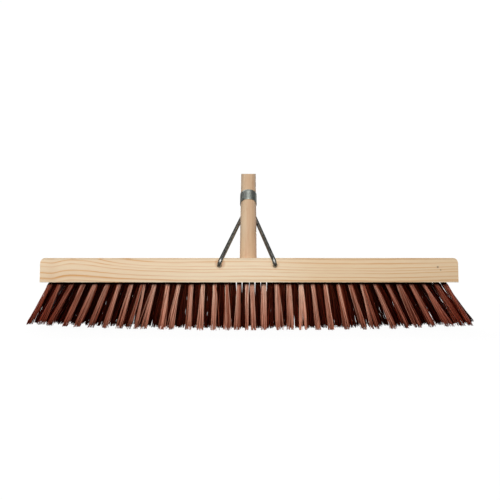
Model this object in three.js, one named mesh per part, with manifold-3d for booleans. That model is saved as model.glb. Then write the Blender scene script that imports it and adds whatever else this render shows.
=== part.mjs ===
// Push broom: a pine block set with five rows of stiff bristle tufts, a round wooden handle in a slanted
// blind socket, and a steel stay that braces it: a clamp band, two hooked rods, a bolt, washer and nut.
//
// Frame: millimetres, +Z up. The origin is on the floor, at the tip of the middle tuft of the middle
// row. X runs along the block, -Y is the front that the stay rods hook into, and the handle leans
// back towards +Y.
import * as THREE from "three";
import { mergeVertices } from "three/addons/utils/BufferGeometryUtils.js";
import Module from "manifold-3d";

const wasm = await Module();
wasm.setup();

// ---- driving dimensions -------------------------------------------------------------------------
const BLOCK = { length: 650, depth: 75, height: 38, arris: 3, corner: 6, steps: 4 };
const BLOCK_X = 3.8; // the middle tufts sit this far to the left of the block's middle
const TRIM = 75; // free length of the bristles, from the block to the floor
const TOP = TRIM + BLOCK.height; // height of the block's top face
const FRONT = -BLOCK.depth / 2; // the block's front face

const HANDLE_X = 2.3; // the plane that the handle and its stay stand in
const HANDLE = { radius: 14, length: 1380, sides: 24, chamfer: 1.5, dome: 9, domeSteps: 4 };
const LEAN = THREE.MathUtils.degToRad(32.5); // the handle leans back this far from upright
const SOCKET = { y: 1.5, depth: 22, gap: 0.4 }; // where the handle's axis meets the top face

const BAND = { distance: 130.6, width: 23.4, sheet: 0.9, play: 0.3 };
const EARS = { gap: 5.5, reach: 36, bolt: 28.5 }; // the band's two ends behind the handle
const ROD = { radius: 3.3, sides: 10, start: 10.5, jog: 2.8 }; // the round leg starts below its eye
const EYE = { radius: 6.5, thickness: 2.6, sides: 12, tongueWidth: 7, tongueLength: 16 };
const PRONG = { x: 0.9, spread: 43.5, height: TRIM + 26.2, reach: 20 }; // hooked ends inside the block
const HOOK = { ahead: 21, radius: 5.6, steps: 9 }; // where leg and prong would meet, ahead of the block
const PRONG_HOLE = { radius: 3.8, depth: 21, sides: 12 };
const BOLT = { radius: 3, hole: 3.4, acrossFlats: 10, head: 3.5, nut: 4, tail: 0.8 };
const WASHER = { thickness: 1, radius: 6 };
const STACK_GAP = 0.2; // between neighbouring pieces on the bolt

const ROWS = { count: 5, spacing: 14 };
// Pairs of values are for the left and the right half.
const RUN = { inner: [-12.6, 8.6], pitch: [18.62, 19.12], count: 17 };
const INSET = { front: [13.8, 18.1], rear: [8, 8] }; // of the end tufts in the front row, the third and the fifth
const FAN = { slope: [-0.53, 0.675], straight: [45, 63], reach: 254, rise: 8 }; // how the tufts splay sideways
const TUFT = { root: 2.9, tip: 5.5, sides: 6, below: 1.4, clearance: 0.25 };
const TUFT_HOLE = { radius: 3.5, depth: 9, sides: 6 };
const WEB = { height: 3, thickness: 2.4, above: 16 }; // where the filaments of a rear row's tufts mingle

// ---- small helpers ------------------------------------------------------------------------------
const handleAxis = new THREE.Vector3(0, Math.sin(LEAN), Math.cos(LEAN));
const rearOfHandle = new THREE.Vector3(0, Math.cos(LEAN), -Math.sin(LEAN));
const socketMouth = new THREE.Vector3(HANDLE_X, SOCKET.y, TOP);

// Carries local X, Y, Z to world X, the rear of the handle and up its axis, at a distance along it.
function onHandle(geometry, distance) {
  const frame = new THREE.Matrix4().makeBasis(new THREE.Vector3(1, 0, 0), rearOfHandle, handleAxis);
  const centre = socketMouth.clone().addScaledVector(handleAxis, distance);
  return geometry.applyMatrix4(frame).translate(centre.x, centre.y, centre.z);
}

function solidOf(geometry) {
  const bare = geometry.clone();
  bare.deleteAttribute("normal");
  bare.deleteAttribute("uv");
  const merged = mergeVertices(bare, 1e-4);
  return new wasm.Manifold(
    new wasm.Mesh({
      numProp: 3,
      vertProperties: merged.attributes.position.array,
      triVerts: new Uint32Array(merged.index.array),
    }),
  );
}

function geometryOf(solid) {
  const mesh = solid.getMesh();
  return new THREE.BufferGeometry()
    .setAttribute("position", new THREE.BufferAttribute(mesh.vertProperties, 3))
    .setIndex(new THREE.BufferAttribute(mesh.triVerts, 1));
}

const joined = (solids) => solids.reduce((whole, solid) => whole.add(solid));

function cylinderAlongX(radius, length, sides) {
  return new THREE.CylinderGeometry(radius, radius, length, sides).rotateZ(Math.PI / 2);
}

function lathe(points, sides) {
  const profile = points.map(([radius, height]) => new THREE.Vector2(radius, height));
  return new THREE.LatheGeometry(profile, sides).rotateX(Math.PI / 2);
}

function arcPoints(centre, radius, from, to, steps) {
  return Array.from({ length: steps + 1 }, (_, i) => {
    const angle = from + ((to - from) * i) / steps;
    return [centre[0] + radius * Math.cos(angle), centre[1] + radius * Math.sin(angle)];
  });
}

function outline(points) {
  return new THREE.Shape(points.map(([x, y]) => new THREE.Vector2(x, y)));
}

function extruded(points, depth) {
  return new THREE.ExtrudeGeometry(outline(points), { depth, bevelEnabled: false, steps: 1 });
}

// ---- bristle field ------------------------------------------------------------------------------
const rowY = (row) => (row - (ROWS.count - 1) / 2) * ROWS.spacing;

// Root positions along a row. Every other row is shifted half a pitch, so that it fills the gaps.
function rootPositions(row) {
  const shifted = row % 2 === 1;
  const count = shifted ? RUN.count - 1 : RUN.count;
  const first = shifted ? 0.5 : 0;
  const steps = Array.from({ length: count }, (_, i) => i + first);
  const left = steps.map((step) => RUN.inner[0] - step * RUN.pitch[0]);
  const right = steps.map((step) => RUN.inner[1] + step * RUN.pitch[1]);
  if (!shifted) {
    const inset = row > 0 ? INSET.rear : INSET.front;
    left[count - 1] = BLOCK_X - BLOCK.length / 2 + inset[0];
    right[count - 1] = BLOCK_X + BLOCK.length / 2 - inset[1];
  }
  left.reverse();
  const middle = shifted ? left.at(-1) + RUN.pitch[0] : 0;
  return [...left, middle, ...right];
}

const halfOf = (x) => (x < BLOCK_X ? 0 : 1);

function fanShare(x) {
  return Math.max(Math.abs(x - BLOCK_X) - FAN.straight[halfOf(x)], 0) / FAN.reach;
}

function fanSlope(x) {
  return FAN.slope[halfOf(x)] * fanShare(x);
}

// Leans an upright shape, whose z is 0 at the block's underside, as its tuft leans.
function leaned(geometry, x, row) {
  const shear = new THREE.Matrix4().set(1, 0, -fanSlope(x), 0, 0, 1, 0, 0, 0, 0, 1, 0, 0, 0, 0, 1);
  return geometry.applyMatrix4(shear).translate(x, rowY(row), TRIM);
}

function tuft(positions, index, row) {
  const x = positions[index];
  const gaps = [x - positions[index - 1], positions[index + 1] - x].filter((gap) => !Number.isNaN(gap));
  const tip = Math.min(TUFT.tip, Math.min(...gaps) / 2 - TUFT.clearance);
  const free = TRIM - FAN.rise * fanShare(x) ** 2;
  const profile = [[0, -free], [tip, -free], [Math.min(TUFT.root, tip), -TUFT.below], [0, -TUFT.below]];
  return leaned(lathe(profile, TUFT.sides), x, row);
}

function tuftHole(x, row) {
  const { radius, depth, sides } = TUFT_HOLE;
  return leaned(lathe([[0, -1], [radius, -1], [radius, depth], [0, depth]], sides), x, row);
}

// A rear row is one body: its tufts, and the narrow band near the tips where their filaments mingle.
function tuftRow(row) {
  const positions = rootPositions(row);
  const ends = [positions[0], positions.at(-1)].map((x) => x + fanSlope(x) * (TRIM - WEB.above));
  const web = new THREE.BoxGeometry(ends[1] - ends[0], WEB.thickness, WEB.height);
  web.translate((ends[0] + ends[1]) / 2, rowY(row), WEB.above);
  const tufts = positions.map((_, index) => solidOf(tuft(positions, index, row)));
  return geometryOf(joined([...tufts, solidOf(web)]));
}

// ---- block --------------------------------------------------------------------------------------
// A bar seen end on: square at the bottom, with its two top corners rounded.
function roundedTop(width, height, radius) {
  const side = width / 2 - radius;
  const shoulder = height - radius;
  return [
    [-width / 2, 0],
    [width / 2, 0],
    ...arcPoints([side, shoulder], radius, 0, Math.PI / 2, BLOCK.steps),
    ...arcPoints([-side, shoulder], radius, Math.PI / 2, Math.PI, BLOCK.steps),
  ];
}

function blockBody() {
  const seenFromFront = extruded(roundedTop(BLOCK.length, BLOCK.height, BLOCK.corner), BLOCK.depth)
    .rotateX(Math.PI / 2)
    .translate(BLOCK_X, BLOCK.depth / 2, TRIM);
  const seenFromEnd = extruded(roundedTop(BLOCK.depth, BLOCK.height, BLOCK.arris), BLOCK.length)
    .rotateX(Math.PI / 2)
    .rotateZ(Math.PI / 2)
    .translate(BLOCK_X - BLOCK.length / 2, 0, TRIM);
  return solidOf(seenFromFront).intersect(solidOf(seenFromEnd));
}

function handleSocket() {
  const radius = HANDLE.radius + SOCKET.gap;
  const above = 20;
  const bottom = -SOCKET.depth - SOCKET.gap;
  const profile = [[0, bottom], [radius, bottom], [radius, above], [0, above]];
  return onHandle(lathe(profile, HANDLE.sides), 0);
}

function prongHole(side) {
  const { radius, depth, sides } = PRONG_HOLE;
  const ahead = 2;
  const y = FRONT + (depth - ahead) / 2;
  return new THREE.CylinderGeometry(radius, radius, depth + ahead, sides)
    .translate(PRONG.x + side * PRONG.spread, y, PRONG.height);
}

function block() {
  const holes = [handleSocket(), prongHole(-1), prongHole(1)];
  for (let row = 0; row < ROWS.count; row++) {
    holes.push(...rootPositions(row).map((x) => tuftHole(x, row)));
  }
  return geometryOf(blockBody().subtract(joined(holes.map(solidOf))));
}

// ---- handle and stay ----------------------------------------------------------------------------
function handle() {
  const { radius, length, chamfer, dome, domeSteps, sides } = HANDLE;
  const foot = -SOCKET.depth;
  const shoulder = foot + length - dome;
  const crown = Array.from({ length: domeSteps + 1 }, (_, i) => {
    const angle = (i / domeSteps) * (Math.PI / 2);
    return [radius * Math.cos(angle), shoulder + dome * Math.sin(angle)];
  });
  crown.at(-1)[0] = 0;
  const profile = [[0, foot], [radius - chamfer, foot], [radius, foot + chamfer], ...crown];
  return onHandle(lathe(profile, sides), 0);
}

// A strip of sheet bent round the handle; its two ends run back side by side as ears.
function stayBand() {
  const { width, sheet, play, distance } = BAND;
  const inner = HANDLE.radius + play;
  const outer = inner + sheet;
  const rod = (radius, half) =>
    solidOf(lathe([[0, -half], [radius, -half], [radius, half], [0, half]], HANDLE.sides));
  const earStart = inner - 1;
  const earBox = new THREE.BoxGeometry(EARS.gap + sheet * 2, EARS.reach - earStart, width)
    .translate(0, (EARS.reach + earStart) / 2, 0);
  const split = new THREE.BoxGeometry(EARS.gap, EARS.reach, width + 2)
    .translate(0, inner - 2 + EARS.reach / 2, 0);
  const bore = cylinderAlongX(BOLT.hole, EARS.gap * 4, EYE.sides).translate(0, EARS.bolt, 0);
  const shape = rod(outer, width / 2)
    .add(solidOf(earBox))
    .subtract(rod(inner, width))
    .subtract(solidOf(split))
    .subtract(solidOf(bore));
  return onHandle(geometryOf(shape), distance);
}

// A path through given points, with one ring of the swept tube at each of them.
class RodPath extends THREE.Curve {
  constructor(points) {
    super();
    this.points = points;
  }

  getPoint(t, target = new THREE.Vector3()) {
    const place = t * (this.points.length - 1);
    const index = Math.min(Math.floor(place), this.points.length - 2);
    return target.copy(this.points[index]).lerp(this.points[index + 1], place - index);
  }

  getPointAt(u, target) {
    return this.getPoint(u, target);
  }

  getSpacedPoints(count) {
    return Array.from({ length: count + 1 }, (_, i) => this.getPoint(i / count));
  }

  getTangentAt(u, target = new THREE.Vector3()) {
    const index = Math.round(u * (this.points.length - 1));
    const before = this.points[Math.max(index - 1, 0)];
    const after = this.points[Math.min(index + 1, this.points.length - 1)];
    return target.copy(after).sub(before).normalize();
  }
}

const boltCentre = socketMouth
  .clone()
  .addScaledVector(handleAxis, BAND.distance)
  .addScaledVector(rearOfHandle, EARS.bolt);
const eyeInner = EARS.gap / 2 + BAND.sheet + STACK_GAP;
const eyeMiddle = eyeInner + EYE.thickness / 2;
const eyeOuter = eyeInner + EYE.thickness;

// One leg of the stay: an eye on the bolt, a flat tongue, a straight leg, and a hook into the block.
function stayRod(side) {
  const eye = boltCentre.clone().add(new THREE.Vector3(side * eyeMiddle, 0, 0));
  const corner = new THREE.Vector3(PRONG.x + side * PRONG.spread, FRONT - HOOK.ahead, PRONG.height);
  const tongueDirection = corner.clone().sub(eye).setX(0).normalize();
  const legStart = eye.clone().addScaledVector(tongueDirection, ROD.start);
  legStart.x += side * ROD.jog;
  const legDirection = corner.clone().sub(legStart).normalize();
  const prongDirection = new THREE.Vector3(0, 1, 0);
  const half = legDirection.clone().negate().angleTo(prongDirection) / 2;
  const tangent = HOOK.radius / Math.tan(half);
  const legEnd = corner.clone().addScaledVector(legDirection, -tangent);
  const bisector = prongDirection.clone().sub(legDirection).normalize();
  const centre = corner.clone().addScaledVector(bisector, HOOK.radius / Math.sin(half));
  const fromLeg = legEnd.clone().sub(centre);
  const turn = Math.PI - half * 2;
  const pivot = legDirection.clone().cross(prongDirection).normalize();
  const bend = Array.from({ length: HOOK.steps + 1 }, (_, i) => {
    const arm = fromLeg.clone().applyAxisAngle(pivot, (turn * i) / HOOK.steps);
    return arm.add(centre);
  });
  const prongEnd = new THREE.Vector3(corner.x, FRONT + PRONG.reach, corner.z);
  const path = new RodPath([legStart, ...bend, prongEnd]);
  const round = outline(arcPoints([0, 0], ROD.radius, 0, Math.PI * 2, ROD.sides).slice(0, -1));
  const bar = new THREE.ExtrudeGeometry(round, { steps: path.points.length - 1, extrudePath: path });

  const disc = cylinderAlongX(EYE.radius, EYE.thickness, EYE.sides);
  const tongue = new THREE.BoxGeometry(EYE.thickness, EYE.tongueWidth, EYE.tongueLength)
    .translate(0, 0, -EYE.tongueLength / 2)
    .rotateX(-Math.atan2(-tongueDirection.y, -tongueDirection.z));
  const bore = cylinderAlongX(BOLT.hole, EYE.thickness * 4, EYE.sides);
  const placed = (geometry) => solidOf(geometry.translate(eye.x, eye.y, eye.z));
  return geometryOf(joined([solidOf(bar), placed(tongue), placed(disc)]).subtract(placed(bore)));
}

function hexAlongX(from, to) {
  const radius = BOLT.acrossFlats / Math.sqrt(3);
  return cylinderAlongX(radius, to - from, 6).translate((from + to) / 2, 0, 0);
}

function pinAlongX(radius, from, to) {
  return cylinderAlongX(radius, to - from, 12).translate((from + to) / 2, 0, 0);
}

const washerStart = eyeOuter + STACK_GAP;
const nutStart = washerStart + WASHER.thickness + STACK_GAP;
const nutEnd = nutStart + BOLT.nut;

function atBolt(solid) {
  return geometryOf(solid).translate(boltCentre.x, boltCentre.y, boltCentre.z);
}

function clampBolt() {
  const head = -eyeOuter - STACK_GAP;
  const shank = pinAlongX(BOLT.radius, head - BOLT.head / 2, nutEnd + BOLT.tail);
  return atBolt(solidOf(hexAlongX(head - BOLT.head, head)).add(solidOf(shank)));
}

function clampWasher() {
  const disc = pinAlongX(WASHER.radius, washerStart, washerStart + WASHER.thickness);
  return atBolt(solidOf(disc).subtract(solidOf(pinAlongX(BOLT.hole, 0, nutEnd))));
}

function clampNut() {
  const hole = solidOf(pinAlongX(BOLT.hole, 0, nutEnd * 2));
  return atBolt(solidOf(hexAlongX(nutStart, nutEnd)).subtract(hole));
}

// ---- assembly -----------------------------------------------------------------------------------
const FINISH = {
  pine: { color: 0xd9bd97, roughness: 0.75, metalness: 0 },
  dowel: { color: 0xd4b593, roughness: 0.6, metalness: 0 },
  zinc: { color: 0x9fa29c, roughness: 0.35, metalness: 1 },
  iron: { color: 0x4c4a47, roughness: 0.45, metalness: 1 },
  bristle: { color: 0x8e5c49, roughness: 0.55, metalness: 0 },
};

const broom = new THREE.Group();
broom.name = "push_broom";

function add(name, geometry, finish) {
  const mesh = new THREE.Mesh(geometry, new THREE.MeshStandardMaterial(FINISH[finish]));
  mesh.name = name;
  broom.add(mesh);
}

add("block", block(), "pine");
add("handle", handle(), "dowel");
add("stay_band", stayBand(), "zinc");
add("stay_rod_left", stayRod(-1), "iron");
add("stay_rod_right", stayRod(1), "iron");
add("clamp_bolt", clampBolt(), "zinc");
add("clamp_washer", clampWasher(), "zinc");
add("clamp_nut", clampNut(), "zinc");

const frontRow = rootPositions(0);
frontRow.forEach((_, index) => {
  const number = String(index + 1).padStart(2, "0");
  add(`front_tuft_${number}`, tuft(frontRow, index, 0), "bristle");
});
for (let row = 1; row < ROWS.count; row++) add(`tuft_row_${row + 1}`, tuftRow(row), "bristle");

export default broom;
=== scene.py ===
"""Push broom: looks, in the frame of the CAD part: +Z up, -Y the front of the block.

The scene is in metres. The sizes of the pieces are written in millimetres, and MM turns them into metres.
"""

import math
import random

import bmesh
import bpy
from mathutils import Euler, Matrix, Vector


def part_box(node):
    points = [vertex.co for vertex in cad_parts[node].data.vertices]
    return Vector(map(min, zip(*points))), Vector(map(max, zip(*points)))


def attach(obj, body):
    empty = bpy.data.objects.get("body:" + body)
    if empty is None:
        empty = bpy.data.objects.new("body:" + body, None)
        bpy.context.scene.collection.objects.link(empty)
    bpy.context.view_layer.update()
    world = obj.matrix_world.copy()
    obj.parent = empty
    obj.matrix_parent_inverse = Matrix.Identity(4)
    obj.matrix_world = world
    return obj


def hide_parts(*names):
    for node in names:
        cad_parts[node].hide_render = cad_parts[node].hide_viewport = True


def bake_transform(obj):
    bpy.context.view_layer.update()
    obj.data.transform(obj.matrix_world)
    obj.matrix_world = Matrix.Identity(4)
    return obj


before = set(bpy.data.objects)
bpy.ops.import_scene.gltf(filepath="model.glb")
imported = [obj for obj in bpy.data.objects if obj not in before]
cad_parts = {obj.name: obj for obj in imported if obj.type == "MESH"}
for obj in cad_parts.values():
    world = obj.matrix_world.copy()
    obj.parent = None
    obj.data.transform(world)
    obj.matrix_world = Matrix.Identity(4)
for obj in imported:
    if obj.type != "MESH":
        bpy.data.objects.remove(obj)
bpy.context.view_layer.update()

MM = 0.001

# ---- sizes, as the CAD part has them (mm) -------------------------------------------------------
low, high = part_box("block")
BLOCK_LOW = Vector(low) / MM
BLOCK_HIGH = Vector(high) / MM
TRIM = BLOCK_LOW.z
TOP = BLOCK_HIGH.z
FRONT = BLOCK_LOW.y
BLOCK_X = (BLOCK_LOW.x + BLOCK_HIGH.x) / 2
BLOCK_LENGTH = BLOCK_HIGH.x - BLOCK_LOW.x
ARRIS = 3  # the round along its long top edges
UNDER_ROUND = 0.5  # the round along the edges under it, in the looks only
CORNER = 6  # the round at its top end corners

HANDLE_X = 2.3
HANDLE_RADIUS = 14
HANDLE_LENGTH = 1380
HANDLE_DOME = 9
LEAN = math.radians(32.5)
SOCKET_Y = 1.5  # where the handle's axis meets the top of the block
SOCKET_DEPTH = 22
SOCKET_PLAY = 0.4

BAND_DISTANCE = 130.6  # up the handle from there
BAND_WIDTH = 23.4
SHEET = 0.9
BAND_PLAY = 0.3
EAR_GAP = 5.5
EAR_REACH = 36
BOLT_REACH = 28.5  # from the handle's axis to the bolt's
ROD_RADIUS = 3.3
ROD_START = 10.5  # the round leg starts this far below its eye
ROD_JOG = 2.8  # and this far to the side
EYE_RADIUS = 6.5
EYE_THICKNESS = 2.6
TONGUE_HALF = 3.5  # half the width of the flat tongue between eye and leg
PRONG_X = 0.9  # the rods enter the block to both sides of this
PRONG_SPREAD = 43.5
PRONG_Z = TRIM + 26.2
PRONG_REACH = 20
PRONG_HOLE = (3.8, 21)  # radius and depth
HOOK_AHEAD = 21  # the line of the leg meets the line of the prong this far before the block
HOOK_RADIUS = 5.6
STACK_GAP = 0.2
BOLT_HOLE = 3.4
BOLT_RADIUS = 3

ROW_COUNT = 5
ROW_SPACING = 14
TUFT_HOLE = (3.9, 9)  # radius and depth; the radius is 0.4 more than in the CAD part, to take the filaments
# A pair holds a value for the left half of a row and one for the right half.
RUN_INNER = (-12.6, 8.6)  # the tufts next to the middle one
RUN_PITCH = (18.62, 19.12)
RUN_COUNT = 17
FRONT_INSET = (13.8, 18.1)  # the end tufts, from the block's ends
REAR_INSET = (8, 8)
FAN_STRAIGHT = (45, 63)  # the tufts stand upright this far from the block's middle
FAN_SLOPE = (-0.53, 0.675)  # and reach this sideways lean
FAN_REACH = 254  # over this length
FAN_RISE = 8  # where they also end this much higher

AXIS = Vector((0, math.sin(LEAN), math.cos(LEAN)))
REAR = Vector((0, math.cos(LEAN), -math.sin(LEAN)))
MOUTH = Vector((HANDLE_X, SOCKET_Y, TOP))


# ---- mesh helpers -------------------------------------------------------------------------------
def link(name, mesh):
    piece = bpy.data.objects.new(name, mesh)
    bpy.context.scene.collection.objects.link(piece)
    return piece


def new_mesh(name, points, faces):
    """A mesh from points in millimetres."""
    mesh = bpy.data.meshes.new(name)
    mesh.from_pydata([tuple(point * MM) for point in points], [], faces)
    return mesh


def finish_mesh(mesh, smooth_angle=35, weld=True):
    """Turns the faces outwards and shades them smooth. Edges sharper than the angle are kept."""
    work = bmesh.new()
    work.from_mesh(mesh)
    if weld:
        bmesh.ops.remove_doubles(work, verts=work.verts, dist=1e-7)
    bmesh.ops.recalc_face_normals(work, faces=work.faces)
    work.to_mesh(mesh)
    work.free()
    mesh.shade_smooth()
    mesh.set_sharp_from_angle(angle=math.radians(smooth_angle))


def apply_modifiers(piece):
    """Bakes the piece's modifiers into its mesh."""
    evaluated = piece.evaluated_get(bpy.context.evaluated_depsgraph_get())
    mesh = bpy.data.meshes.new_from_object(evaluated)
    piece.modifiers.clear()
    piece.data = mesh
    finish_mesh(mesh)


def loft(name, rings, closed=False):
    """A skin over rings of equal length, each a closed loop of points.

    The ends are capped, or the last ring joins the first.
    """
    count = len(rings[0])
    points = [p for ring in rings for p in ring]
    faces = []
    spans = len(rings) if closed else len(rings) - 1
    for i in range(spans):
        a, b = i * count, ((i + 1) % len(rings)) * count
        for j in range(count):
            k = (j + 1) % count
            faces.append((a + j, a + k, b + k, b + j))
    if not closed:
        faces.append(tuple(range(count)))
        faces.append(tuple(range((len(rings) - 1) * count, len(rings) * count)))
    mesh = new_mesh(name, points, faces)
    finish_mesh(mesh)
    return mesh


def cut(piece, cutter_mesh):
    cutter = link("cutter", cutter_mesh)
    modifier = piece.modifiers.new("cut", "BOOLEAN")
    modifier.operation = "DIFFERENCE"
    modifier.solver = "EXACT"
    modifier.object = cutter
    apply_modifiers(piece)
    bpy.data.objects.remove(cutter)


def soften(piece, width, angle):
    """Rounds the edges that are sharper than the angle."""
    modifier = piece.modifiers.new("soften", "BEVEL")
    modifier.width = width * MM
    modifier.segments = 2
    modifier.limit_method = "ANGLE"
    modifier.angle_limit = math.radians(angle)
    apply_modifiers(piece)


def on_handle(distance, side=0.0, rear=0.0):
    """A point by its distance up the handle, to its right, and behind it."""
    return MOUTH + AXIS * distance + REAR * rear + Vector((side, 0, 0))


def circle_ring(centre, a, b, radius, count):
    """A circle of points round a centre, in the plane of the directions a and b."""
    angles = [2 * math.pi * i / count for i in range(count)]
    return [centre + (a * math.cos(angle) + b * math.sin(angle)) * radius for angle in angles]


def bore(piece, centre):
    """Cuts the bolt's hole through a piece."""
    ends = [centre + Vector((x, 0, 0)) for x in (-8, 8)]
    cut(piece, loft("bore", [circle_ring(end, REAR, AXIS, BOLT_HOLE, 32) for end in ends]))


def smoothstep(start, end, value):
    t = min(max((value - start) / (end - start), 0), 1)
    return t * t * (3 - 2 * t)


# ---- shader helpers -----------------------------------------------------------------------------
class Graph:
    """Short names for the shader nodes that the materials use."""

    def __init__(self, name):
        self.material = bpy.data.materials.new(name)
        self.material.use_nodes = True
        self.tree = self.material.node_tree
        self.shader = self.tree.nodes["Principled BSDF"]
        coordinates = self.tree.nodes.new("ShaderNodeTexCoord")
        self.place = coordinates.outputs["Object"]

    def put(self, socket, value):
        if isinstance(value, bpy.types.NodeSocket):
            self.tree.links.new(value, socket)
        else:
            socket.default_value = value

    def math(self, operation, a, b=0.0, clamp=False):
        node = self.tree.nodes.new("ShaderNodeMath")
        node.operation = operation
        node.use_clamp = clamp
        self.put(node.inputs[0], a)
        self.put(node.inputs[1], b)
        return node.outputs[0]

    def add(self, a, b):
        return self.math("ADD", a, b)

    def sub(self, a, b):
        return self.math("SUBTRACT", a, b)

    def mul(self, a, b):
        return self.math("MULTIPLY", a, b)

    def bell(self, value, width):
        """1 where the value is 0, falling away to both sides over the width."""
        share = self.math("DIVIDE", value, width)
        return self.math("EXPONENT", self.mul(self.math("POWER", share, 2), -1.0))

    def rise(self, value, start, length):
        """0 up to the start, 1 from start + length. A negative length falls instead."""
        return self.math("DIVIDE", self.sub(value, start), length, clamp=True)

    def split(self, vector):
        node = self.tree.nodes.new("ShaderNodeSeparateXYZ")
        self.put(node.inputs[0], vector)
        return node.outputs[0], node.outputs[1], node.outputs[2]

    def join(self, x, y, z):
        node = self.tree.nodes.new("ShaderNodeCombineXYZ")
        for socket, value in zip(node.inputs, (x, y, z)):
            self.put(socket, value)
        return node.outputs[0]

    def turn_x(self, vector, angle):
        node = self.tree.nodes.new("ShaderNodeVectorRotate")
        node.rotation_type = "X_AXIS"
        self.put(node.inputs["Vector"], vector)
        self.put(node.inputs["Angle"], angle)
        return node.outputs[0]

    def noise(self, vector, scales, detail=2.0, roughness=0.5):
        """Noise with its own scale along each axis."""
        stretch = self.tree.nodes.new("ShaderNodeVectorMath")
        stretch.operation = "MULTIPLY"
        self.put(stretch.inputs[0], vector)
        self.put(stretch.inputs[1], scales)
        node = self.tree.nodes.new("ShaderNodeTexNoise")
        self.put(node.inputs["Vector"], stretch.outputs[0])
        node.inputs["Scale"].default_value = 1.0
        node.inputs["Detail"].default_value = detail
        node.inputs["Roughness"].default_value = roughness
        return node.outputs["Fac"]

    def ramp(self, value, stops):
        """stops: (position, sRGB colour as 0-255, or one grey level 0-1)."""
        node = self.tree.nodes.new("ShaderNodeValToRGB")
        self.put(node.inputs[0], value)
        elements = node.color_ramp.elements
        while len(elements) < len(stops):
            elements.new(0.5)
        for element, (position, colour) in zip(elements, stops):
            element.position = position
            element.color = linear(colour) if isinstance(colour, tuple) else (colour, colour, colour, 1)
        return node.outputs[0]

    def above(self, value, start, end):
        """0 up to the start, 1 from the end."""
        return self.ramp(value, [(start, 0.0), (end, 1.0)])

    def mix(self, factor, a, b, blend="MIX"):
        node = self.tree.nodes.new("ShaderNodeMix")
        node.data_type = "RGBA"
        node.blend_type = blend
        self.put(node.inputs["Factor"], factor)
        self.put(node.inputs["A"], linear(a) if isinstance(a, tuple) else a)
        self.put(node.inputs["B"], linear(b) if isinstance(b, tuple) else b)
        return node.outputs["Result"]

    def stain(self, colour, mask, share, other):
        """Takes the colour towards another where the mask is 1, by the share."""
        return self.mix(self.mul(mask, share), colour, other)

    def shade(self, colour, factor):
        return self.mix(1.0, colour, factor, "MULTIPLY")

    def bump(self, height, distance, strength):
        node = self.tree.nodes.new("ShaderNodeBump")
        self.put(node.inputs["Height"], height)
        node.inputs["Distance"].default_value = distance * MM
        node.inputs["Strength"].default_value = strength
        self.tree.links.new(node.outputs[0], self.shader.inputs["Normal"])

    def attribute(self, name):
        node = self.tree.nodes.new("ShaderNodeAttribute")
        node.attribute_name = name
        return node.outputs["Fac"]

    def surface(self, colour, roughness, metallic=0.0, specular=0.5):
        self.put(self.shader.inputs["Base Color"], colour)
        self.put(self.shader.inputs["Roughness"], roughness)
        self.put(self.shader.inputs["Metallic"], metallic)
        self.put(self.shader.inputs["Specular IOR Level"], specular)
        return self.material


def linear(colour):
    """sRGB 0-255 to the linear values that Blender wants."""
    channels = [c / 255 for c in colour]
    return tuple(c / 12.92 if c <= 0.04045 else ((c + 0.055) / 1.055) ** 2.4 for c in channels) + (1,)


# ---- materials ----------------------------------------------------------------------------------
RING_GAP = 3.7  # between two growth rings of the pine
PITH = (220, -160)  # Y and Z of the middle of the tree, behind the block and below the floor
ARCH_X = BLOCK_X - 272  # the rings rise in an arch here, and pass a knot beside it
ARCH_WIDTH = (26, 101)  # to its left, and to its right
ARCH_LIFT = 3.4
KNOT_X = -34  # from the arch
KNOT_WIDTH = 11
KNOT_LIFT = 1
WIDE_REACH = 90  # how far to the right of the arch the rings stay wide
HOOK_Y = FRONT - 5  # the rods' hooks turn into the wood about here


def spot(g, x, z, centre, radius):
    """1 at a place on the block's front, falling to 0 at the radius (mm)."""
    across = g.math("POWER", g.sub(x, centre[0] * MM), 2)
    up = g.math("POWER", g.sub(z, centre[1] * MM), 2)
    distance = g.math("SQRT", g.add(across, up))
    return g.math("SUBTRACT", 1.0, g.math("DIVIDE", distance, radius * MM), clamp=True)


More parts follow.
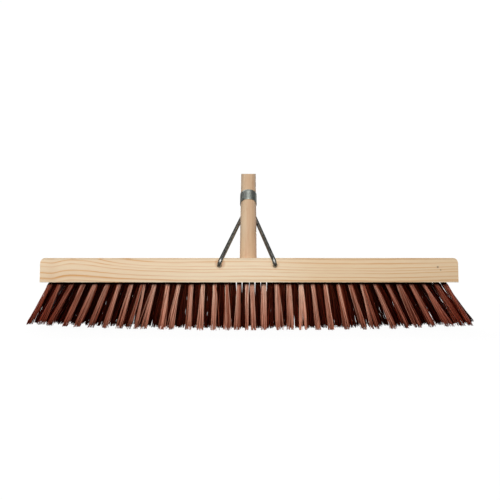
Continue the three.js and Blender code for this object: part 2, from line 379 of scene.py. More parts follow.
def growth_rings(g, x, y, z):
    """Three masks, 0 to 1: the dark late wood of the rings, the left end's wide rings, and the knot."""
    from_arch = g.sub(x, ARCH_X * MM)
    right_side = g.math("GREATER_THAN", from_arch, 0.0)
    arch_width = g.add(g.mul(right_side, (ARCH_WIDTH[1] - ARCH_WIDTH[0]) * MM), ARCH_WIDTH[0] * MM)
    arch = g.bell(from_arch, arch_width)
    knot = g.bell(g.sub(from_arch, KNOT_X * MM), KNOT_WIDTH * MM)
    # At the left end the rings lie further apart, because the height changes more slowly there.
    wide = g.bell(g.math("MAXIMUM", from_arch, 0.0), WIDE_REACH * MM)
    low_share = g.math("DIVIDE", g.sub((TOP + 6) * MM, z), 0.044)
    narrowing = g.add(g.mul(g.sub(z, (TRIM + 19) * MM), 0.52), g.add(g.mul(low_share, 0.0065), 0.005))
    sway = g.noise(g.place, (4, 6, 12), 1.0)
    ripple = g.noise(g.place, (26, 30, 60), 1.0)
    height = g.sub(g.sub(z, g.mul(arch, ARCH_LIFT * MM)), g.mul(wide, narrowing))
    height = g.add(height, g.mul(knot, KNOT_LIFT * MM))
    height = g.add(height, g.mul(g.sub(sway, 0.5), 0.012))
    height = g.add(height, g.mul(g.sub(ripple, 0.5), 0.0012))
    behind = g.math("POWER", g.sub(y, PITH[0] * MM), 2)
    above = g.math("POWER", g.sub(height, PITH[1] * MM), 2)
    radius = g.math("SQRT", g.add(behind, above))
    uneven = g.noise(g.join(radius, 0.0, 0.0), (130, 0, 0))
    phase = g.math("FRACT", g.add(g.math("DIVIDE", radius, RING_GAP * MM), g.mul(uneven, 2.0)))
    late = g.ramp(phase, [
        (0.0, 0.1), (0.2, 0.0), (0.62, 0.1), (0.77, 0.7), (0.85, 1.0), (0.93, 0.3), (1.0, 0.1),
    ])
    return late, wide, knot


def pine():
    g = Graph("pine")
    x, y, z = g.split(g.place)
    late, wide, knot = growth_rings(g, x, y, z)
    fade = g.ramp(g.noise(g.place, (10, 40, 150)), [(0.34, 0.42), (0.58, 1.0)])
    broad = g.noise(g.place, (3.5, 9, 16))
    fibre = g.noise(g.place, (60, 900, 900), 3.0, 0.6)
    colour = g.mix(g.above(broad, 0.35, 0.68), (250, 228, 196), (245, 218, 183))
    strength = g.add(0.84, g.mul(wide, 0.16))
    colour = g.stain(colour, g.mul(late, fade), strength, (222, 157, 84))
    colour = g.stain(colour, g.above(fibre, 0.35, 0.75), 0.14, (208, 168, 122))
    colour = g.stain(colour, g.math("POWER", knot, 2), 0.08, (190, 130, 84))
    # Rust and bruises round the two rod holes, and two small dark specks at the right end.
    for centre, size, share, mark in (
        ((PRONG_X - PRONG_SPREAD + 1, PRONG_Z + 3), 9.5, 1.0, (176, 104, 36)),
        ((PRONG_X + PRONG_SPREAD, PRONG_Z + 1), 8, 0.6, (180, 125, 70)),
        ((297, TRIM + 23.8), 2.2, 0.9, (96, 70, 52)),
        ((301.5, TRIM + 19.3), 1.6, 0.8, (110, 80, 60)),
    ):
        colour = g.stain(colour, spot(g, x, z, centre, size), share, mark)
    # Painted shade: the bar gets a little darker to the right, where the light falls off, and along the
    # rounded long edge at the front top, which turns away from the light.
    right = g.rise(x, 0.02, 0.3)
    darker = g.ramp(right, [(0.0, (255, 255, 255)), (0.3, (247, 242, 234)), (1.0, (236, 229, 219))])
    colour = g.shade(colour, darker)
    # painted shade along the rounded top edge at the front
    up = g.rise(z, (TOP - 4.2) * MM, 0.0032)
    forward = g.rise(y, (FRONT + 5) * MM, -0.003)
    colour = g.stain(colour, g.mul(up, forward), 0.5, (176, 152, 118))
    g.bump(g.add(g.mul(fibre, 0.5), g.mul(late, 0.25)), 0.08, 0.4)
    return g.surface(colour, g.ramp(fibre, [(0.3, 0.62), (0.7, 0.78)]))


def dowel():
    g = Graph("dowel")
    local = g.turn_x(g.place, LEAN)
    streak = g.noise(local, (150, 150, 5), 3.0, 0.6)
    broad = g.noise(local, (40, 40, 7))
    fibre = g.noise(local, (1400, 1400, 40))
    flake = g.noise(local, (330, 330, 70), 1.0)
    colour = g.mix(g.above(broad, 0.34, 0.68), (224, 197, 164), (211, 177, 141))
    colour = g.stain(colour, g.above(streak, 0.42, 0.66), 0.7, (203, 158, 124))
    colour = g.stain(colour, g.above(flake, 0.62, 0.8), 0.4, (186, 138, 102))
    colour = g.stain(colour, g.above(fibre, 0.4, 0.75), 0.12, (190, 150, 115))
    g.bump(g.add(g.mul(fibre, 0.2), streak), 0.04, 0.25)
    return g.surface(colour, g.ramp(streak, [(0.3, 0.5), (0.75, 0.66)]))


def zinc():
    g = Graph("zinc")
    local = g.turn_x(g.place, LEAN)
    brushed = g.noise(local, (90, 90, 2600), 3.0, 0.7)
    mottle = g.noise(g.place, (420, 420, 420), 3.0, 0.65)
    cloud = g.noise(g.place, (90, 90, 90))
    colour = g.mix(g.above(mottle, 0.35, 0.65), (158, 163, 157), (176, 181, 174))
    colour = g.stain(colour, g.above(cloud, 0.45, 0.7), 0.18, (126, 128, 120))
    g.bump(g.add(g.mul(brushed, 0.3), g.mul(mottle, 0.6)), 0.03, 0.2)
    return g.surface(colour, g.ramp(mottle, [(0.3, 0.46), (0.7, 0.54)]), 1.0)


def iron():
    """Dark drawn steel, with a painted highlight round the hooks, where the steel is also a little smoother,
    and painted shade, nearly black, where they enter the wood.
    """
    g = Graph("iron")
    streak = g.noise(g.place, (500, 90, 90), 3.0, 0.6)
    cloud = g.noise(g.place, (130, 130, 130))
    pitted = g.noise(g.place, (900, 900, 900))
    x, y, z = g.split(g.place)
    from_hook = g.math("DIVIDE", g.math("ABSOLUTE", g.sub(y, HOOK_Y * MM)), 0.014)
    wear_and_highlight = g.math("SUBTRACT", 1.0, from_hook, clamp=True)
    colour = g.mix(g.above(cloud, 0.35, 0.65), (138, 139, 133), (160, 160, 153))
    colour = g.stain(colour, g.above(streak, 0.45, 0.75), 0.4, (104, 101, 94))
    # painted highlight round the hook's bend; the roughness below also drops there, as polish
    colour = g.stain(colour, wear_and_highlight, 0.35, (190, 192, 190))
    # painted shade, nearly black, where the rods enter the wood
    at_hook = g.math("LESS_THAN", z, (PRONG_Z + 5) * MM)
    painted_hole_shade = g.mul(g.rise(y, HOOK_Y * MM, 0.004), at_hook)
    colour = g.stain(colour, painted_hole_shade, 0.9, (34, 30, 27))
    g.bump(g.add(g.mul(pitted, 0.6), streak), 0.03, 0.15)
    roughness = g.sub(g.ramp(cloud, [(0.3, 0.44), (0.7, 0.54)]), g.mul(wear_and_highlight, 0.06))
    return g.surface(colour, roughness, 1.0)


def bristle():
    """Red-brown plastic. Each filament has its own tint, and gets darker towards its tip."""
    g = Graph("bristle")
    tint = g.attribute("tint")
    along = g.attribute("along")
    x, y, z = g.split(g.place)
    grain = g.noise(g.place, (900, 900, 120))
    upper = g.mix(tint, (255, 213, 187), (184, 106, 78))
    lower = g.mix(tint, (234, 154, 124), (128, 60, 38))
    colour = g.mix(g.above(along, 0.2, 1.0), upper, lower)
    colour = g.stain(colour, g.above(grain, 0.4, 0.7), 0.16, (140, 82, 62))
    # Painted shade: darker in the inner rows and towards the block's two ends, and a painted shadow of the
    # block on the roots under it.
    colour = g.mix(g.mul(g.attribute("inner"), 0.8), colour, (255, 176, 150), "MULTIPLY")
    # painted shade towards the two ends, where less light reaches the tufts
    side = g.math("DIVIDE", g.math("ABSOLUTE", g.sub(x, BLOCK_X * MM)), 0.33, clamp=True)
    painted_end_shade = g.ramp(side, [(0.0, (255, 255, 255)), (0.35, (250, 246, 244)), (1.0, (178, 114, 96))])
    colour = g.shade(colour, painted_end_shade)
    # painted shadow of the block's lower edge on the roots; their shine fades with it
    root = g.ramp(along, [(0.0, 0.02), (0.066, 0.03), (0.102, 1.0)])
    colour = g.shade(colour, root)
    g.bump(grain, 0.04, 0.4)
    return g.surface(colour, 0.46, specular=g.mul(root, 0.22))


MATERIALS = {"pine": pine(), "dowel": dowel(), "zinc": zinc(), "iron": iron(), "bristle": bristle()}


def dress(piece, slot, body=None):
    piece.data.materials.clear()
    piece.data.materials.append(MATERIALS[slot])
    if body:
        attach(piece, body)


# ---- block --------------------------------------------------------------------------------------
def row_y(row):
    """The rows are counted from the front, from 0."""
    return (row - (ROW_COUNT - 1) / 2) * ROW_SPACING


def root_positions(row):
    """Where the tufts of a row stand, left to right. Every second row is shifted by half a pitch."""
    shifted = row % 2 == 1
    count = RUN_COUNT - 1 if shifted else RUN_COUNT
    first = 0.5 if shifted else 0
    left = [RUN_INNER[0] - (i + first) * RUN_PITCH[0] for i in range(count)]
    right = [RUN_INNER[1] + (i + first) * RUN_PITCH[1] for i in range(count)]
    if not shifted:
        inset = REAR_INSET if row else FRONT_INSET
        left[-1] = BLOCK_X - BLOCK_LENGTH / 2 + inset[0]
        right[-1] = BLOCK_X + BLOCK_LENGTH / 2 - inset[1]
    left.reverse()
    return left + [left[-1] + RUN_PITCH[0] if shifted else 0] + right


def half_of(x):
    """Which of a pair of values counts at x: the left one or the right one."""
    return 0 if x < BLOCK_X else 1


def fan_share(x):
    """How far along the fan a tuft stands: 0 in the upright middle, 1 near the ends."""
    return max(abs(x - BLOCK_X) - FAN_STRAIGHT[half_of(x)], 0) / FAN_REACH


def fan_slope(x):
    """How far a tuft leans sideways for each millimetre down."""
    return FAN_SLOPE[half_of(x)] * fan_share(x)


def block_profile(height):
    """The block seen end on: a small round under, a larger one on top."""
    small = UNDER_ROUND
    rear = -FRONT
    steps = 6
    points = []
    for centre_y, centre_z, radius, start in (
        (FRONT + small, small, small, math.pi),
        (rear - small, small, small, 1.5 * math.pi),
        (rear - ARRIS, height - ARRIS, ARRIS, 0),
        (FRONT + ARRIS, height - ARRIS, ARRIS, 0.5 * math.pi),
    ):
        for i in range(steps + 1):
            angle = start + i / steps * math.pi / 2
            points.append((centre_y + radius * math.cos(angle), centre_z + radius * math.sin(angle)))
    return points


def add_drill(holes, place, direction, radius, start, end, sides):
    """Adds a round bar to the holes, from start to end along the direction."""
    direction = Vector(direction).normalized()
    side = direction.orthogonal().normalized()
    other = direction.cross(side)
    centres = [Vector(place) + direction * distance for distance in (start, end)]
    rings = [circle_ring(centre, side, other, radius, sides) for centre in centres]
    loops = [[holes.verts.new(point * MM) for point in ring] for ring in rings]
    holes.faces.new(loops[0][::-1])
    holes.faces.new(loops[1])
    for i in range(sides):
        j = (i + 1) % sides
        holes.faces.new((loops[0][i], loops[0][j], loops[1][j], loops[1][i]))


def block_holes():
    """The socket, the two rod holes and the tuft holes, as one mesh to cut with."""
    holes = bmesh.new()
    proud = 2  # each bar starts this far outside the wood
    add_drill(holes, MOUTH, AXIS, HANDLE_RADIUS + SOCKET_PLAY, -SOCKET_DEPTH - SOCKET_PLAY, 20, 64)
    for side in (-1, 1):
        place = (PRONG_X + side * PRONG_SPREAD, FRONT, PRONG_Z)
        add_drill(holes, place, (0, 1, 0), PRONG_HOLE[0], -proud, PRONG_HOLE[1], 32)
    for row in range(ROW_COUNT):
        for x in root_positions(row):
            along = (-fan_slope(x), 0, 1)
            add_drill(holes, (x, row_y(row), TRIM), along, TUFT_HOLE[0], -proud, TUFT_HOLE[1], 14)
    mesh = bpy.data.meshes.new("holes")
    bmesh.ops.recalc_face_normals(holes, faces=holes.faces)
    holes.to_mesh(mesh)
    holes.free()
    return mesh


def make_block():
    """The bar is a row of end profiles, lower at its two rounded ends."""
    half = BLOCK_LENGTH / 2
    height = TOP - TRIM
    steps = 10
    angles = [i / steps * math.pi / 2 for i in range(steps + 1)]
    stations = [
        (half - CORNER + CORNER * math.cos(angle), height - CORNER + CORNER * math.sin(angle))
        for angle in angles
    ]
    right = [(BLOCK_X + x, top) for x, top in stations]
    left = [(BLOCK_X - x, top) for x, top in stations]
    rings = [
        [Vector((x, y, TRIM + z)) for y, z in block_profile(top)]
        for x, top in left + right[::-1]
    ]
    piece = link("block_wood", loft("block_wood", rings))
    cut(piece, block_holes())
    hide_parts("block")
    dress(piece, "pine", "head")


# ---- handle and stay ----------------------------------------------------------------------------
BOLT = on_handle(BAND_DISTANCE, 0, BOLT_REACH)
EYE_X = EAR_GAP / 2 + SHEET + STACK_GAP + EYE_THICKNESS / 2


def make_handle():
    """Turned from pairs of radius and distance: an eased foot, a straight length and a domed end."""
    foot = -SOCKET_DEPTH
    eased = foot + 1.5
    shoulder = foot + HANDLE_LENGTH - HANDLE_DOME
    lengths = 60
    profile = [(HANDLE_RADIUS - 1.5, foot), (HANDLE_RADIUS - 0.4, foot + 0.5), (HANDLE_RADIUS, eased)]
    for i in range(1, lengths + 1):
        profile.append((HANDLE_RADIUS, eased + (shoulder - eased) * i / lengths))
    for i in range(1, 15):
        angle = i / 14.3 * math.pi / 2
        profile.append((HANDLE_RADIUS * math.cos(angle), shoulder + HANDLE_DOME * math.sin(angle)))
    side = Vector((1, 0, 0))
    rings = [circle_ring(on_handle(distance), side, REAR, radius, 96) for radius, distance in profile]
    piece = link("handle_wood", loft("handle_wood", rings))
    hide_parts("handle")
    dress(piece, "dowel", "handle")


def band_path():
    """The middle of the strip, seen along the handle: from one ear's end round to the other's."""
    middle_radius = HANDLE_RADIUS + BAND_PLAY + SHEET / 2
    ear_x = EAR_GAP / 2 + SHEET / 2
    open_angle = math.asin(ear_x / middle_radius)
    ear = [(ear_x, EAR_REACH - i * 1.2) for i in range(16)]
    turns = 72
    loop = []
    for i in range(turns + 1):
        angle = open_angle + (2 * math.pi - 2 * open_angle) * i / turns
        loop.append((middle_radius * math.sin(angle), middle_radius * math.cos(angle)))
    path = ear + loop + [(-x, rear) for x, rear in ear][::-1]
    for _ in range(2):  # eases the bends between the loop and the ears
        path = [path[0]] + [
            ((a[0] + 2 * b[0] + c[0]) / 4, (a[1] + 2 * b[1] + c[1]) / 4)
            for a, b, c in zip(path, path[1:], path[2:])
        ] + [path[-1]]
    return path


def make_band():
    """A strip of sheet with rounded ears, bent along its path."""
    path = band_path()
    ear_corner = 6
    across = 6
    rings = []
    for i, (x, rear) in enumerate(path):
        before = path[max(i - 1, 0)]
        after = path[min(i + 1, len(path) - 1)]
        tangent = Vector((after[0] - before[0], after[1] - before[1])).normalized()
        normal = Vector((tangent.y, -tangent.x)) * SHEET / 2
        drop = max(rear - (EAR_REACH - ear_corner), 0)
        half = BAND_WIDTH / 2 - ear_corner + math.sqrt(max(ear_corner**2 - drop**2, 0))
        distances = [BAND_DISTANCE + half * (j / across * 2 - 1) for j in range(across + 1)]
        outer = [on_handle(distance, x + normal.x, rear + normal.y) for distance in distances]
        inner = [on_handle(distance, x - normal.x, rear - normal.y) for distance in distances]
        rings.append(outer + inner[::-1])
    piece = link("stay_band_strip", loft("stay_band_strip", rings))
    bore(piece, BOLT)
    soften(piece, 0.18, 40)
    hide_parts("stay_band")
    dress(piece, "zinc", "head")


def rod_stations(side):
    """Stations along a rod: point, half thickness along X, half width and squareness at each."""
    eye = BOLT + Vector((side * EYE_X, 0, 0))
    corner = Vector((PRONG_X + side * PRONG_SPREAD, FRONT - HOOK_AHEAD, PRONG_Z))
    down = corner - eye
    down.x = 0
    down.normalize()
    leg_start = eye + down * ROD_START + Vector((side * ROD_JOG, 0, 0))
    leg = (corner - leg_start).normalized()
    prong = Vector((0, 1, 0))
    half = (-leg).angle(prong) / 2
    leg_end = corner - leg * (HOOK_RADIUS / math.tan(half))
    centre = corner + (prong - leg).normalized() * (HOOK_RADIUS / math.sin(half))
    pivot = leg.cross(prong).normalized()
    turn = math.pi - 2 * half

    # The flat eye and its tongue turn into the round leg.
    stations = []
    slices = 30
    gap = 0.85
    for i in range(slices):
        along = -EYE_RADIUS * 0.995 + i * gap
        flat = eye + down * along
        round_part = leg_start + leg * (along - ROD_START)
        share = smoothstep(7, 15, along)
        disc = math.sqrt(max(EYE_RADIUS**2 - along**2, 0))
        width = max(disc, smoothstep(0, 5, along) * (TONGUE_HALF + (ROD_RADIUS - TONGUE_HALF) * share))
        thick = EYE_THICKNESS / 2 + (ROD_RADIUS - EYE_THICKNESS / 2) * share
        stations.append((flat.lerp(round_part, share), thick, width, 1 - share))

    # The leg, the hook's bend and the prong are round all along.
    start = leg_start + leg * (slices * gap - EYE_RADIUS - ROD_START)
    points = [start.lerp(leg_end, i / 40) for i in range(41)]
    for i in range(1, 33):
        points.append(centre + Matrix.Rotation(turn * i / 32, 3, pivot) @ (leg_end - centre))
    bend_end = points[-1]
    prong_end = Vector((corner.x, FRONT + PRONG_REACH, corner.z))
    points += [bend_end.lerp(prong_end, i / 6) for i in range(1, 7)]
    return stations + [(point, ROD_RADIUS, ROD_RADIUS, 0) for point in points]


def make_rod(side):
    stations = rod_stations(side)
    sides = 32
    rings = []
    for i, (point, thick, width, square) in enumerate(stations):
        before = stations[max(i - 1, 0)][0]
        after = stations[min(i + 1, len(stations) - 1)][0]
        tangent = (after - before).normalized()
        across = Vector((1, 0, 0))
        across = (across - tangent * across.dot(tangent)).normalized()
        other = tangent.cross(across)
        power = 2 / (2 + 2.5 * square)
        ring = []
        for j in range(sides):
            angle = 2 * math.pi * j / sides
            c = math.cos(angle)
            s = math.sin(angle)
            a = math.copysign(abs(c) ** power, c) * thick
            b = math.copysign(abs(s) ** power, s) * width
            ring.append(point + across * a + other * b)
        rings.append(ring)
    hand = "left" if side < 0 else "right"
    name = f"stay_rod_bar_{hand}"
    piece = link(name, loft(name, rings))
    bore(piece, BOLT + Vector((side * EYE_X, 0, 0)))
    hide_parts(f"stay_rod_{hand}")
    dress(piece, "iron", "head")


def x_ring(x, radius_at):
    """A ring round the bolt's axis. radius_at gives the radius at each angle."""
    ring = []
    count = 96
    for i in range(count):
        angle = 2 * math.pi * i / count
        radius = radius_at(angle)
        ring.append(BOLT + Vector((x, 0, 0)) + (REAR * math.cos(angle) + AXIS * math.sin(angle)) * radius)
    return ring


def hexagon(across_flats, limit):
    """Radius of a hexagon at an angle, cut back to a round chamfer."""
    def radius_at(angle):
        within = (angle + math.pi / 6) % (math.pi / 3) - math.pi / 6
        return min(across_flats / 2 / math.cos(within), limit)
    return radius_at


def plain(radius):
    """The same radius at every angle."""
    return lambda angle: radius


def thread(x, pitch, radius, depth):
    """Radius of a screw thread at a place along the bolt, as it winds round."""
    def radius_at(angle):
        phase = (x / pitch + angle / (2 * math.pi)) % 1
        return radius - depth * abs(2 * phase - 1)
    return radius_at


def make_fasteners():
    flats = 10
    corner = flats / math.sqrt(3)
    chamfer = 4.75
    head_height = 3.5
    nut_height = 4
    nut_chamfer = 4.85
    washer_radius = 6
    washer_height = 1
    eye_outer = EAR_GAP / 2 + SHEET + STACK_GAP + EYE_THICKNESS
    head = -eye_outer - STACK_GAP
    washer = eye_outer + STACK_GAP
    washer_end = washer + washer_height
    nut = washer_end + STACK_GAP
    nut_end = nut + nut_height
    tail = nut_end + 0.8

    # Bolt: head, shank, a thread from just before the nut, and a chamfered tail.
    bolt_rings = [
        (head - head_height, plain(4.2)),
        (head - head_height, hexagon(flats, chamfer)),
        (head - head_height + 0.55, hexagon(flats, corner)),
        (head - 0.15, hexagon(flats, corner)),
        (head, hexagon(flats, corner - 0.15)),
        (head, plain(BOLT_RADIUS)),
    ]
    start = nut - 1.5
    bolt_rings.append((start - 0.3, plain(BOLT_RADIUS)))
    steps = 80
    for i in range(steps + 1):
        x = start + (tail - 0.5 - start) * i / steps
        bolt_rings.append((x, thread(x, 1.0, BOLT_RADIUS, 0.45)))
    bolt_rings.append((tail, plain(2.2)))
    nut_rings = [
        (nut, plain(BOLT_HOLE)),
        (nut, hexagon(flats, nut_chamfer)),
        (nut + 0.5, hexagon(flats, corner)),
        (nut_end - 0.5, hexagon(flats, corner)),
        (nut_end, hexagon(flats, nut_chamfer)),
        (nut_end, plain(BOLT_HOLE)),
    ]
    eased = 0.15
    washer_rings = [
        (washer, plain(BOLT_HOLE)),
        (washer, plain(washer_radius - eased)),
        (washer + eased, plain(washer_radius)),
        (washer_end - eased, plain(washer_radius)),
        (washer_end, plain(washer_radius - eased)),
        (washer_end, plain(BOLT_HOLE)),
    ]
    for node, specs in (("clamp_bolt", bolt_rings), ("clamp_nut", nut_rings), ("clamp_washer", washer_rings)):
        name = f"{node}_steel"
        rings = [x_ring(x, radius_at) for x, radius_at in specs]
        piece = link(name, loft(name, rings, closed=node != "clamp_bolt"))
        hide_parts(node)
        dress(piece, "zinc", "head")


# ---- bristles -----------------------------------------------------------------------------------
# A pair holds a value for the front row and one for the rows behind it.
FILAMENTS = (26, 32)  # in a tuft
FILAMENT_RADIUS = (0.5, 0.56)
FILAMENT_SIDES = 5
FILAMENT_LEVELS = (3, -0.5, -3.5, -11, -24, -40, -57)  # heights of its rings from the block; then its tip
TOP_LEVEL = FILAMENT_LEVELS[0]
ROOT_HALF = ((3.0, 3.4), (3.1, 3.7))  # half width of a tuft in its hole, and just under the block
FORKED_SHARE = (0.45, 0.2)  # this share of the tufts spreads widely at the tips
FORKED_HALF = ((7.2, 9.4), (9.8, 11.4))  # least and greatest half width at the tips
PLAIN_HALF = ((5.2, 6.8), (8.9, 10.4))
FLARE_POWER = (0.75, 1.1)  # under 1, a tuft widens early
SLOPE_STRAY = (0.02, 0.008)  # standard deviations from the even fan and spacing
PLACE_STRAY = (0.4, 0.2)
FRONT_END_TIP = 5.2  # the front row's two end tufts: half width at the tips
FRONT_END_ROOT = 4.3  # half width just under the block
FRONT_END_SWAY = 4.2  # how far the tips lie towards the middle
REAR_END_ROOT_MORE = 1.0
INNER_SHORTER = 1.4  # the filaments of rows 2 to 4
SEED = 700


def packed_disc(count):
    """Points spread evenly over a disc of radius 1."""
    golden = math.pi * (3 - math.sqrt(5))
    points = []
    for i in range(count):
        radius = math.sqrt((i + 0.5) / count)
        points.append((radius * math.cos(i * golden), radius * math.sin(i * golden)))
    return points


def is_inner(row):
    return 0 < row < ROW_COUNT - 1


def tuft_filaments(x, row, room, rng, at_end):
    """Paths of one tuft's filaments, as lists of points, with a tint for each filament.

    The filaments leave the hole side by side and gather in two or three clumps at their tips.
    """
    kind = min(row, 1)
    stray = 0 if at_end else 1
    slope = fan_slope(x) + rng.gauss(0, SLOPE_STRAY[kind]) * stray
    x += rng.gauss(0, PLACE_STRAY[kind]) * stray
    y = row_y(row)
    free = TRIM - FAN_RISE * fan_share(x) ** 2
    forked = rng.random() < FORKED_SHARE[kind]
    tip_half_x = min(room, rng.uniform(*(FORKED_HALF if forked else PLAIN_HALF)[kind]))
    hole_half, root_half = ROOT_HALF[kind]
    if at_end and row == 0:
        tip_half_x = FRONT_END_TIP
        root_half = FRONT_END_ROOT
    elif at_end:
        root_half += REAR_END_ROOT_MORE
    tip_half_y = rng.uniform(4.0, 6.0)
    twist = rng.choice((-1, 1)) * rng.uniform(0.6, 1.7)
    clumps = [(rng.uniform(-0.9, 0.9), rng.uniform(-0.8, 0.8)) for _ in range(rng.choice((2, 2, 3)))]
    gather = rng.uniform(0.45, 0.7) if forked else rng.uniform(0.1, 0.35)
    sway = (rng.gauss(0, 1.2) * stray, rng.gauss(0, 1.0))
    if at_end and row == 0:
        sway = (math.copysign(FRONT_END_SWAY, -x), sway[1])
    tuft_tint = rng.uniform(0.2, 0.7)
    paths = []
    for px, py in packed_disc(FILAMENTS[kind]):
        turned = (px * math.cos(twist) - py * math.sin(twist), px * math.sin(twist) + py * math.cos(twist))
        nearest = min(clumps, key=lambda c: (c[0] - turned[0]) ** 2 + (c[1] - turned[1]) ** 2)
        tip = [t + (c - t) * gather + rng.gauss(0, 0.12) for t, c in zip(turned, nearest)]
        if rng.random() < 0.08:  # a few stand out
            tip = [t * 1.4 for t in tip]
        bow = (rng.gauss(0, 0.5), rng.gauss(0, 0.45))
        length = free - abs(rng.gauss(0, 1.3)) - (rng.random() < 0.08) * rng.uniform(1, 5)
        if is_inner(row):
            length -= INNER_SHORTER
        points = []
        for z in FILAMENT_LEVELS + (-length,):
            fall = max(-z, 0) / free
            half = hole_half + (root_half - hole_half) * smoothstep(0, 3.5, -z)
            root = (px * half, py * hole_half)
            flare = fall ** FLARE_POWER[kind]
            bend = math.sin(math.pi * min(fall, 1))
            points.append(Vector((
                x - slope * z + root[0] + (tip[0] * tip_half_x + sway[0] - root[0]) * flare + bow[0] * bend,
                y + root[1] + (tip[1] * tip_half_y + sway[1] - root[1]) * flare + bow[1] * bend,
                TRIM + z,
            )))
        tint = min(max(tuft_tint + rng.gauss(0, 0.5), 0), 1)
        paths.append((points, tint))
    return paths


def row_paths(row):
    """The filament paths of a whole row, each with its tint, its spin and its radius."""
    rng = random.Random(SEED + row)
    positions = root_positions(row)
    last = len(positions) - 1
    paths = []
    for index, x in enumerate(positions):
        gap = min(abs(x - positions[i]) for i in (index - 1, index + 1) if 0 <= i <= last)
        room = max(gap / 2 * (1.35 if gap > 15 else 1.05), 4)
        for path, tint in tuft_filaments(x, row, room, rng, index in (0, last)):
            spin = rng.uniform(0, math.tau)
            radius = FILAMENT_RADIUS[min(row, 1)] * rng.uniform(0.85, 1.15)
            paths.append((path, tint, spin, radius))
    return paths


def row_mesh(name, row):
    """Five-sided rods along the paths. Attributes tell the material each point's tint, fall and row."""
    sides = FILAMENT_SIDES
    points = []
    faces = []
    tints = []
    along = []
    for path, tint, spin, radius in row_paths(row):
        first = len(points)
        for point in path:
            taper = 0.72 if point is path[-1] else 1
            fall = (TOP_LEVEL + TRIM - point.z) / (TOP_LEVEL + TRIM)
            for j in range(sides):
                angle = spin + math.tau * j / sides
                points.append(point + Vector((math.cos(angle), math.sin(angle), 0)) * radius * taper)
                tints.append(tint)
                along.append(fall)
        for i in range(len(path) - 1):
            a = first + i * sides
            b = a + sides
            faces += [(a + j, a + (j + 1) % sides, b + (j + 1) % sides, b + j) for j in range(sides)]
        last = first + (len(path) - 1) * sides
        faces.append(tuple(range(first, first + sides)))
        faces.append(tuple(range(last, last + sides)))
    mesh = new_mesh(name, points, faces)
    inner = [1.0 if is_inner(row) else 0.0] * len(points)
    for label, values in (("tint", tints), ("along", along), ("inner", inner)):
        mesh.attributes.new(label, "FLOAT", "POINT").data.foreach_set("value", values)
    finish_mesh(mesh, smooth_angle=80, weld=False)
    return mesh


def make_row(row):
    """One row of tufts in one mesh, in the place of the row's CAD parts."""
    name = f"bristles_row_{row + 1}"
    piece = link(name, row_mesh(name, row))
    if row == 0:
        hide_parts(*[f"front_tuft_{i + 1:02d}" for i in range(len(root_positions(row)))])
    else:
        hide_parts(f"tuft_row_{row + 1}")
    dress(piece, "bristle")
    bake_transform(piece)


make_block()
make_handle()
make_band()
make_rod(-1)
make_rod(1)
make_fasteners()
for row in range(ROW_COUNT):
    make_row(row)


# ---- stage: floor, world, lights, camera --------------------------------------------------------
PAPER = 1.02  # just over white, so that the background is pure white


def camera_only(tree, seen, unseen):
    """Shows one shader to the camera and another to every other ray."""
    path = tree.nodes.new("ShaderNodeLightPath")
    mix = tree.nodes.new("ShaderNodeMixShader")
    tree.links.new(path.outputs["Is Camera Ray"], mix.inputs[0])
    tree.links.new(unseen, mix.inputs[1])
    tree.links.new(seen, mix.inputs[2])
    return mix.outputs[0]


def bare_material(name):
    """A material with an output and nothing else."""
    material = bpy.data.materials.new(name)
    material.use_nodes = True
    material.node_tree.nodes.remove(material.node_tree.nodes["Principled BSDF"])
    return material


def make_floor():
    """White to the camera, with a faint shadow near the broom, and nearly black to all other light."""
    half = 6
    corners = [(-half, -half, 0), (half, -half, 0), (half, half, 0), (-half, half, 0)]
    mesh = bpy.data.meshes.new("floor")
    mesh.from_pydata(corners, [], [(0, 1, 2, 3)])
    floor = link("floor", mesh)
    material = bare_material("floor")
    tree = material.node_tree
    glow = tree.nodes.new("ShaderNodeEmission")
    glow.inputs["Strength"].default_value = PAPER
    matt = tree.nodes.new("ShaderNodeBsdfDiffuse")
    matt.inputs["Color"].default_value = (0.9, 0.9, 0.9, 1)
    blend = tree.nodes.new("ShaderNodeMixShader")
    place = tree.nodes.new("ShaderNodeTexCoord")
    far = tree.nodes.new("ShaderNodeVectorMath")
    far.operation = "LENGTH"
    near = tree.nodes.new("ShaderNodeMapRange")
    for label, value in (("From Min", 0.25), ("From Max", 1.0), ("To Min", 0.07), ("To Max", 0.0)):
        near.inputs[label].default_value = value
    tree.links.new(place.outputs["Object"], far.inputs[0])
    tree.links.new(far.outputs["Value"], near.inputs["Value"])
    tree.links.new(near.outputs[0], blend.inputs[0])
    tree.links.new(glow.outputs[0], blend.inputs[1])
    tree.links.new(matt.outputs[0], blend.inputs[2])
    dim = tree.nodes.new("ShaderNodeBsdfDiffuse")
    dim.inputs["Color"].default_value = (0.05, 0.05, 0.05, 1)
    out = camera_only(tree, blend.outputs[0], dim.outputs[0])
    tree.links.new(out, tree.nodes["Material Output"].inputs["Surface"])
    mesh.materials.append(material)


def make_world():
    """White to the camera, and a weak even light to everything else."""
    world = bpy.data.worlds.new("studio")
    world.use_nodes = True
    tree = world.node_tree
    seen = tree.nodes["Background"]
    seen.inputs["Color"].default_value = (1, 1, 1, 1)
    seen.inputs["Strength"].default_value = PAPER
    unseen = tree.nodes.new("ShaderNodeBackground")
    unseen.inputs["Color"].default_value = (1, 1, 1, 1)
    unseen.inputs["Strength"].default_value = 0.045
    out = camera_only(tree, seen.outputs[0], unseen.outputs[0])
    tree.links.new(out, tree.nodes["World Output"].inputs["Surface"])
    bpy.context.scene.world = world


def meshes_here():
    return [piece for piece in bpy.context.scene.objects if piece.type == "MESH"]


def all_but(kept):
    """What a light has to skip to reach only the kept pieces."""
    return [piece.name for piece in meshes_here() if piece.name not in kept]


def linked(name, left_out):
    """A collection of all the pieces but those left out."""
    collection = bpy.data.collections.new(name)
    for piece in meshes_here():
        if piece.name not in left_out:
            collection.objects.link(piece)
    return collection


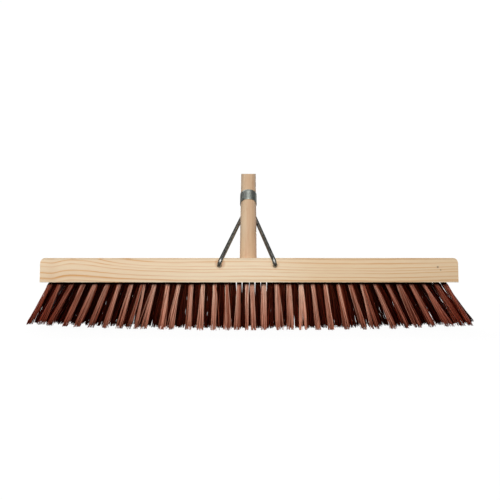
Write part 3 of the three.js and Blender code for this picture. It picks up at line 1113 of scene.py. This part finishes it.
def area_light(name, place, target, size, energy, skip=(), shadowless=(), colour=(1, 1, 1)):
    """A soft rectangular light. It doesn't reach the pieces in skip; those in shadowless cast no shadow."""
    data = bpy.data.lights.new(name, "AREA")
    data.shape = "RECTANGLE"
    data.size, data.size_y = size
    data.energy = energy
    data.color = colour
    light = bpy.data.objects.new(name, data)
    light.location = place
    light.rotation_euler = (Vector(target) - Vector(place)).to_track_quat("-Z", "Y").to_euler()
    light.visible_camera = False
    bpy.context.scene.collection.objects.link(light)
    if skip:
        light.light_linking.receiver_collection = linked(name + "_lit", skip)
    if shadowless:
        light.light_linking.blocker_collection = linked(name + "_blockers", shadowless)


DIM = (1, 0.4, 0.27)  # light that comes to the inner rows by way of the bristles


def make_lights():
    """Large soft lights before and behind, then weaker ones that each reach a few pieces."""
    rows = [f"bristles_row_{row + 1}" for row in range(ROW_COUNT)]
    rods = ["stay_rod_bar_left", "stay_rod_bar_right"]
    clamp = ["stay_band_strip", "clamp_bolt_steel", "clamp_nut_steel", "clamp_washer_steel"]
    metal = rods + clamp
    handle = ["handle_wood"]
    # A light with one of these lists to skip reaches one piece or group only.
    not_handle = all_but(handle)
    not_block = all_but(["block_wood"])
    not_clamp = all_but(clamp)
    not_row_2 = all_but(rows[1:2])
    beside = handle + metal + rows[1:2]  # what the lights at the two sides skip
    at_head = (0, 0.1, 0.1)
    at_handle = (0, 0.4, 0.7)

    area_light("key", (-0.12, -1.75, 1.15), (0, 0, 0.1), (1.1, 0.9), 35.5, rows[1:], rods)
    area_light("fill", (0.3, -1.9, 0.25), (0, 0, 0.1), (1.2, 0.8), 6.2, rows[1:], rods)
    area_light("top", (0.03, -0.37, 1.87), (0, 0.07, 0.22), (0.45, 0.7), 4, all_but(metal))
    area_light("back", (-0.7, 1.7, 2.4), (0, 0.2, 0.2), (1.6, 1.2), 38, rows[:2] + rods)
    area_light("rear", (0.4, 2.3, 0.6), (0, 0.1, 0.3), (1.2, 0.9), 16, rows[:2] + metal)
    for side, stick, collar in ((-1, 2, 1), (1, 8, 7)):
        area_light(f"side{side}", (2.1 * side, 0.5, 0.7), at_head, (1.2, 1.0), 11, beside)
        area_light(f"stick{side}", (1.6 * side, 1.7, 0.9), at_handle, (0.8, 1.6), stick, not_handle)
        area_light(f"end_grain{side}", (2.2 * side, 0.15, 0.3), at_head, (0.6, 0.4), 5, not_block)
        area_light(f"collar{side}", (1.8 * side, 2.2, 0.8), (0, 0.1, 0.2), (1.5, 1.5), collar, not_clamp)
        place = (2.0 * side, -0.02, 0.12)
        area_light(f"end{side}", place, (0, 0, 0.05), (0.3, 0.3), 1.5, not_row_2, colour=DIM)
    area_light("glint", (2.1, 0.5, 0.7), at_head, (1.2, 1.0), 3, all_but(rods))
    area_light("underside", (-0.5, 2.2, 1.1), at_handle, (0.9, 1.6), 12, not_handle)
    area_light("deep", (0.75, -0.9, 0.3), (0.05, 0, 0.04), (0.8, 0.3), 1.5, not_row_2, colour=DIM)


LENS = 30.31
SENSOR = 36.0
CAMERA = Vector((BLOCK_X + 1.4, FRONT - 654.7, 91)) * MM
PITCH = math.radians(3.0)
HANDLE_CUT = 0.181  # where the picture ends the handle: height over distance, above the view's axis
CARD_DISTANCE = 0.03  # from the lens
CARD_REACH = 0.06  # a longer ray passes through the card


def make_camera():
    data = bpy.data.cameras.new("camera")
    data.lens = LENS
    data.sensor_width = SENSOR
    data.clip_start = 0.01
    data.clip_end = 20
    camera = bpy.data.objects.new("camera", data)
    camera.location = CAMERA
    camera.rotation_euler = Euler((math.pi / 2 + PITCH, 0, 0))
    bpy.context.scene.collection.objects.link(camera)
    bpy.context.scene.camera = camera


def make_crop_card():
    """A white card just before the front camera ends the handle where the picture does.

    It is clear to any ray longer than a few centimetres, so no other view shows it.
    """
    turn = Euler((math.pi / 2 + PITCH, 0, 0)).to_matrix()
    reach = 0.8
    corners = [(-reach, HANDLE_CUT), (reach, HANDLE_CUT), (reach, reach), (-reach, reach)]
    points = [CAMERA + turn @ (Vector((x, y, -1)) * CARD_DISTANCE) for x, y in corners]
    mesh = bpy.data.meshes.new("crop_card")
    mesh.from_pydata(points, [], [(0, 1, 2, 3)])
    card = link("crop_card", mesh)
    material = bare_material("crop_card")
    tree = material.node_tree
    path = tree.nodes.new("ShaderNodeLightPath")
    near = tree.nodes.new("ShaderNodeMath")
    near.operation = "LESS_THAN"
    near.inputs[1].default_value = CARD_REACH
    tree.links.new(path.outputs["Ray Length"], near.inputs[0])
    white = tree.nodes.new("ShaderNodeEmission")
    white.inputs["Strength"].default_value = PAPER
    clear = tree.nodes.new("ShaderNodeBsdfTransparent")
    mix = tree.nodes.new("ShaderNodeMixShader")
    tree.links.new(near.outputs[0], mix.inputs[0])
    tree.links.new(clear.outputs[0], mix.inputs[1])
    tree.links.new(white.outputs[0], mix.inputs[2])
    tree.links.new(mix.outputs[0], tree.nodes["Material Output"].inputs["Surface"])
    mesh.materials.append(material)
    card.visible_diffuse = False
    card.visible_glossy = False
    card.visible_transmission = False
    card.visible_shadow = False


make_floor()
make_world()
make_lights()
make_camera()
make_crop_card()
bpy.context.scene.view_settings.view_transform = "Standard"
